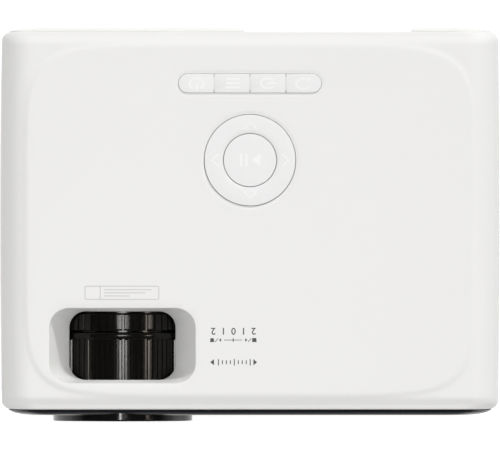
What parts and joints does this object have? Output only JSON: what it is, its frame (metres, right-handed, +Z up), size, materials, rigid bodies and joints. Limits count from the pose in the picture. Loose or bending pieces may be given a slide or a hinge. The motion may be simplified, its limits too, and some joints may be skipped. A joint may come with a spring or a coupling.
{
  "type": "video projector with built-in disc player",
  "caption": "Small box-shaped LCD video projector with a lens behind turning focus and keystone rings, top keys, side sockets and a sliding disc tray.",
  "frame": {"origin": "on the table, under the middle of the whole object", "axes": "+X towards the side with the sockets, -Y towards the lens, +Z up"},
  "size_m": [0.2304, 0.181, 0.0983],
  "materials": {
    "white_shell": "fine satin moulded plastic",
    "white_keys": "semi-gloss moulded plastic",
    "black_panel": "fine satin black plastic",
    "black_gloss": "glossy black plastic",
    "black_ribbed": "satin black plastic",
    "black_inner": "matt black plastic",
    "lens_glass": "coated optical glass",
    "lcd_glass": "dark liquid crystal glass",
    "steel": "plain rolled or plated steel",
    "aluminium": "extruded aluminium",
    "brass": "turned brass",
    "board": "green solder mask",
    "board_parts": "moulded electronic parts",
    "dark_red": "infrared-passing dark plastic",
    "rubber": "matt black rubber"
  },
  "bodies": {
    "housing": {"bottom_case": "white_shell", "top_cover": "white_shell", "front_panel": "black_panel", "rear_panel": "white_shell", "lens_hood": "black_gloss", "lens_mount": "black_ribbed", "ring_clip": "steel", "engine_housing": "black_inner", "fresnel_lenses": "lens_glass", "condenser_lens": "lens_glass", "led_module": "aluminium", "heatsink": "aluminium", "fan_frame": "black_inner", "frame_plate": "steel", "drive_chassis": "steel", "drive_cover": "steel", "main_board": "board", "usb_port": "steel", "hdmi_ports": "steel", "card_slot": "steel", "audio_jacks": "black_inner", "ir_window": "dark_red", "power_board": "board", "power_parts": "board_parts", "speakers": "board_parts", "screws": "steel", "mains_inlet": "black_inner", "switch_body": "black_inner", "keypad_board": "board", "tact_switches": "board_parts", "rubber_feet": "rubber", "tripod_insert": "brass"},
    "focus_ring": {"focus_ring": "black_ribbed"},
    "lens_barrel": {"lens_barrel": "black_ribbed", "front_lens": "lens_glass", "rear_lens": "lens_glass"},
    "keystone_ring": {"keystone_ring": "black_ribbed"},
    "lcd_frame": {"lcd_frame": "black_inner", "lcd_panel": "lcd_glass"},
    "fan_impeller": {"fan_impeller": "black_inner"},
    "disc_tray": {"disc_tray": "black_inner", "tray_bezel": "white_shell", "spindle_motor": "steel", "guide_rods": "steel", "sled_motor": "steel"},
    "tray_runners": {"tray_runners": "steel"},
    "eject_button": {"eject_button": "white_keys"},
    "spindle_hub": {"spindle_hub": "black_inner"},
    "pickup_sled": {"pickup_sled": "black_inner"},
    "lead_screw": {"lead_screw": "steel"},
    "key_power": {"key_power": "white_keys"},
    "key_menu": {"key_menu": "white_keys"},
    "key_source": {"key_source": "white_keys"},
    "key_back": {"key_back": "white_keys"},
    "nav_gimbal": {"nav_gimbal": "black_inner"},
    "nav_ring": {"nav_ring": "white_keys"},
    "ok_button": {"ok_button": "white_keys"},
    "power_rocker": {"power_rocker": "black_inner"},
    "foot_pad": {"foot_pad": "rubber"},
    "foot_screw": {"foot_screw": "steel"}
  },
  "joints": [
    {"name": "focus_turn", "type": "hinge", "parent": "housing", "child": "focus_ring", "pos_m": [-0.0587, -0.064, 0.06], "axis": [0, 1, 0], "range_deg": [-40.1, 40.1]},
    {"name": "focus_slide", "type": "slide", "parent": "housing", "child": "lens_barrel", "axis": [0, 1, 0], "range_m": [-0.0025, 0.0025]},
    {"name": "keystone_turn", "type": "hinge", "parent": "housing", "child": "keystone_ring", "pos_m": [-0.0587, -0.044, 0.06], "axis": [0, 1, 0], "range_deg": [-30, 30]},
    {"name": "lcd_tilt", "type": "hinge", "parent": "housing", "child": "lcd_frame", "pos_m": [-0.0587, -0.0141, 0.06], "axis": [1, 0, 0], "range_deg": [-4, 4]},
    {"name": "fan_spin", "type": "hinge", "parent": "housing", "child": "fan_impeller", "pos_m": [-0.0657, 0.076, 0.0587], "axis": [0, 1, 0], "continuous": true},
    {"name": "tray_slide", "type": "slide", "parent": "housing", "child": "disc_tray", "axis": [-1, 0, 0], "range_m": [0, 0.115]},
    {"name": "runner_slide", "type": "slide", "parent": "housing", "child": "tray_runners", "axis": [-1, 0, 0], "range_m": [0, 0.0575]},
    {"name": "eject_press", "type": "slide", "parent": "disc_tray", "child": "eject_button", "axis": [1, 0, 0], "range_m": [0, 0.0012], "stiffness_N_per_m": 300},
    {"name": "spindle_spin", "type": "hinge", "parent": "disc_tray", "child": "spindle_hub", "pos_m": [-0.0489, 0.0019, 0.019], "axis": [0, 0, 1], "continuous": true},
    {"name": "pickup_slide", "type": "slide", "parent": "disc_tray", "child": "pickup_sled", "axis": [1, 0, 0], "range_m": [-0.0025, 0.025]},
    {"name": "lead_turn", "type": "hinge", "parent": "disc_tray", "child": "lead_screw", "pos_m": [-0.01, 0.0259, 0.0158], "axis": [1, 0, 0], "range_deg": [-300.1, 3000.1]},
    {"name": "power_key_press", "type": "slide", "parent": "housing", "child": "key_power", "axis": [0, 0, -1], "range_m": [0, 0.0006], "stiffness_N_per_m": 300},
    {"name": "menu_key_press", "type": "slide", "parent": "housing", "child": "key_menu", "axis": [0, 0, -1], "range_m": [0, 0.0006], "stiffness_N_per_m": 300},
    {"name": "source_key_press", "type": "slide", "parent": "housing", "child": "key_source", "axis": [0, 0, -1], "range_m": [0, 0.0006], "stiffness_N_per_m": 300},
    {"name": "back_key_press", "type": "slide", "parent": "housing", "child": "key_back", "axis": [0, 0, -1], "range_m": [0, 0.0006], "stiffness_N_per_m": 300},
    {"name": "pad_tilt_up_down", "type": "hinge", "parent": "housing", "child": "nav_gimbal", "pos_m": [0, 0.0296, 0.09185], "axis": [1, 0, 0], "range_deg": [-1.5, 1.5], "stiffness_Nm_per_rad": 0.6},
    {"name": "pad_tilt_left_right", "type": "hinge", "parent": "nav_gimbal", "child": "nav_ring", "pos_m": [0, 0.0296, 0.0932], "axis": [0, 1, 0], "range_deg": [-1.5, 1.5], "stiffness_Nm_per_rad": 0.6},
    {"name": "ok_press", "type": "slide", "parent": "housing", "child": "ok_button", "axis": [0, 0, -1], "range_m": [0, 0.0006], "stiffness_N_per_m": 300},
    {"name": "power_switch", "type": "hinge", "parent": "housing", "child": "power_rocker", "pos_m": [0.055, 0.0815, 0.028], "axis": [0, 0, -1], "range_deg": [0, 18]},
    {"name": "foot_lift", "type": "slide", "parent": "housing", "child": "foot_pad", "axis": [0, 0, -1], "range_m": [0, 0.012]},
    {"name": "foot_turn", "type": "hinge", "parent": "foot_pad", "child": "foot_screw", "pos_m": [0, -0.0719, 0.014], "axis": [0, 0, -1], "range_deg": [-0.1, 3456.1]}
  ],
  "couplings": [
    {"joint": "focus_turn", "follows": "focus_slide", "rad_per_m": 279.25},
    {"joint": "lcd_tilt", "follows": "keystone_turn", "ratio": 0.1333},
    {"joint": "runner_slide", "follows": "tray_slide", "ratio": 0.5},
    {"joint": "lead_turn", "follows": "pickup_slide", "rad_per_m": 2094.4},
    {"joint": "foot_turn", "follows": "foot_lift", "rad_per_m": 5026.5}
  ]
}
